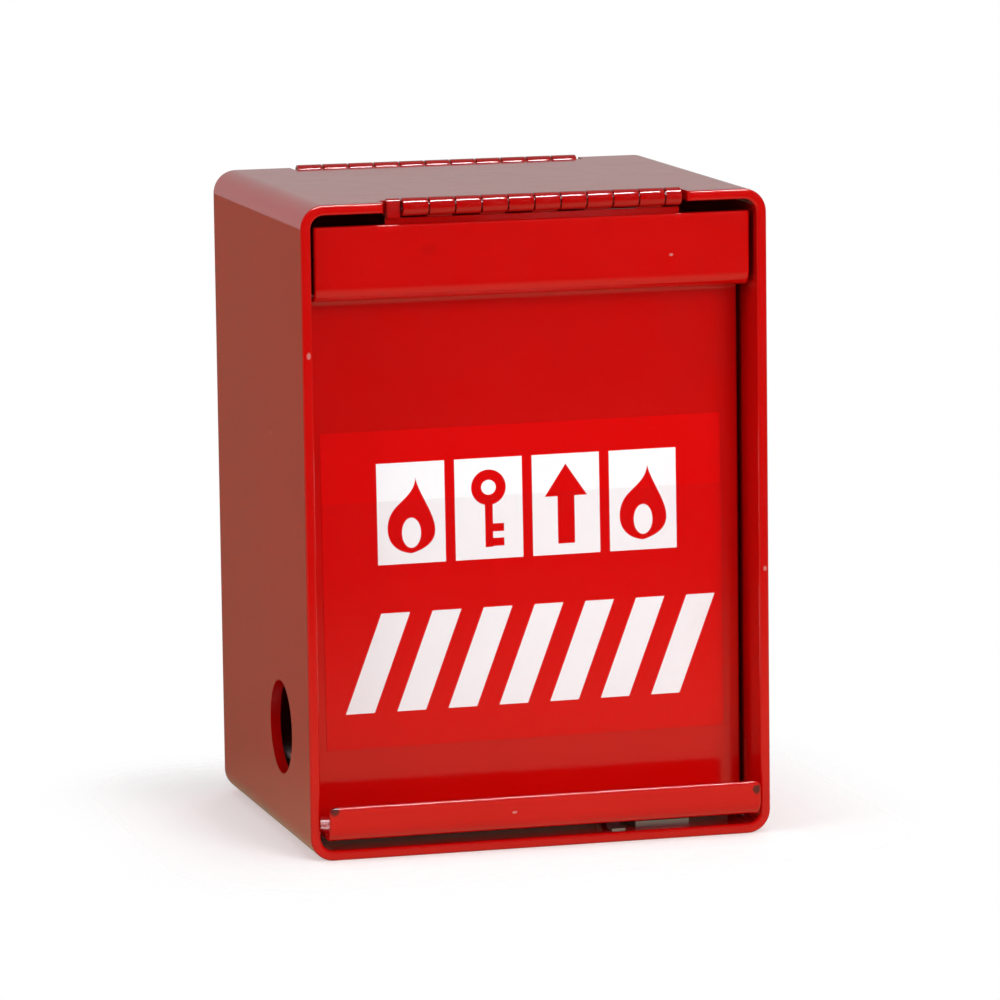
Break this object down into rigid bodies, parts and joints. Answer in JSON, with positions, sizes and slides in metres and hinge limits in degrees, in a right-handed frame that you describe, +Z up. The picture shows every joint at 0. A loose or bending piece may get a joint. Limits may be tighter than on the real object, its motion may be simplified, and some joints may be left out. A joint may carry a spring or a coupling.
{
  "type": "emergency access box",
  "caption": "Red steel tube housing with a hinged, recessed flap door at each end, a label on the front flap, a key switch and terminals inside and a conduit hole in one side.",
  "frame": {"origin": "middle of the tube's underside", "axes": "+Z up; the front flap door faces -Y; +X to the right as seen from the front"},
  "size_m": [0.1112, 0.1004, 0.1532],
  "materials": {
    "red_paint": "gloss powder coat with a faint orange peel",
    "red_paint_doors": "gloss powder coat with a faint orange peel",
    "red_paint_hinges": "gloss powder coat",
    "hinge_pins": "drawn steel",
    "label_red": "gloss vinyl film",
    "label_clear": "clear gloss film",
    "label_white": "white printed film",
    "zinc_sheet": "zinc plate with a bluish passivation",
    "zinc_fasteners": "zinc plate",
    "spring_steel": "bright spring steel",
    "rubber_pads": "matt black",
    "lock_chrome": "satin chrome plate",
    "brass_parts": "machined",
    "switch_black": "moulded",
    "button_red": "moulded",
    "spacers_aluminium": "turned",
    "terminal_ivory": "moulded"
  },
  "bodies": {
    "housing": {"bracket_screws": "zinc_fasteners", "clamp_screws": "brass_parts", "cover_rivet": "spring_steel", "earth_nut": "zinc_fasteners", "earth_stud": "brass_parts", "front_bumpers": "rubber_pads", "front_catch_spring": "spring_steel", "front_hinge_fixed_leaf": "red_paint_hinges", "lock_body": "lock_chrome", "lock_nut": "zinc_fasteners", "rear_bumpers": "rubber_pads", "rear_catch_spring": "spring_steel", "rear_hinge_fixed_leaf": "red_paint_hinges", "snap_switch": "switch_black", "snap_switch_tabs": "brass_parts", "switch_bracket": "zinc_sheet", "switch_nuts": "zinc_fasteners", "switch_screws": "zinc_fasteners", "switch_spacers": "spacers_aluminium", "terminal_block": "terminal_ivory", "terminal_screws": "zinc_fasteners", "tray": "zinc_sheet", "tray_nuts": "zinc_fasteners", "tray_screws": "zinc_fasteners", "tube_body": "red_paint"},
    "front_flap": {"front_door": "red_paint_doors", "front_hinge_moving_leaf": "red_paint_hinges", "front_hinge_pin": "hinge_pins", "label_base": "label_red", "label_overlay": "label_clear", "label_print": "label_white"},
    "rear_flap": {"rear_door": "red_paint_doors", "rear_hinge_moving_leaf": "red_paint_hinges", "rear_hinge_pin": "hinge_pins"},
    "key": {"lock_plug": "brass_parts", "lock_cam": "spring_steel", "cam_screw": "zinc_fasteners"},
    "cover": {"dust_cover": "lock_chrome"},
    "lever": {"switch_lever": "spring_steel"},
    "button": {"switch_button": "button_red"}
  },
  "joints": [
    {"name": "front_door_hinge", "type": "hinge", "parent": "housing", "child": "front_flap", "pos_m": [0.0003, -0.0436, 0.1511], "axis": [-1, 0, 0], "range_deg": [0, 180]},
    {"name": "rear_door_hinge", "type": "hinge", "parent": "housing", "child": "rear_flap", "pos_m": [-0.0003, 0.0436, 0.1511], "axis": [1, 0, 0], "range_deg": [0, 180]},
    {"name": "key_turn", "type": "hinge", "parent": "housing", "child": "key", "pos_m": [0, -0.023, 0.068], "axis": [0, -1, 0], "range_deg": [0, 90]},
    {"name": "cover_swing", "type": "hinge", "parent": "housing", "child": "cover", "pos_m": [0, -0.0269, 0.0784], "axis": [0, -1, 0], "range_deg": [0, 100]},
    {"name": "lever_push", "type": "hinge", "parent": "housing", "child": "lever", "pos_m": [0.01925, 0.0043, 0.06], "axis": [0, 1, 0], "range_deg": [0, 3.2]},
    {"name": "button_push", "type": "slide", "parent": "housing", "child": "button", "axis": [1, 0, 0], "range_m": [0, 0.00032]}
  ],
  "couplings": [
    {"joint": "lever_push", "follows": "key_turn", "ratio": 0.033333},
    {"joint": "button_push", "follows": "key_turn", "m_per_rad": 0.00019099}
  ]
}
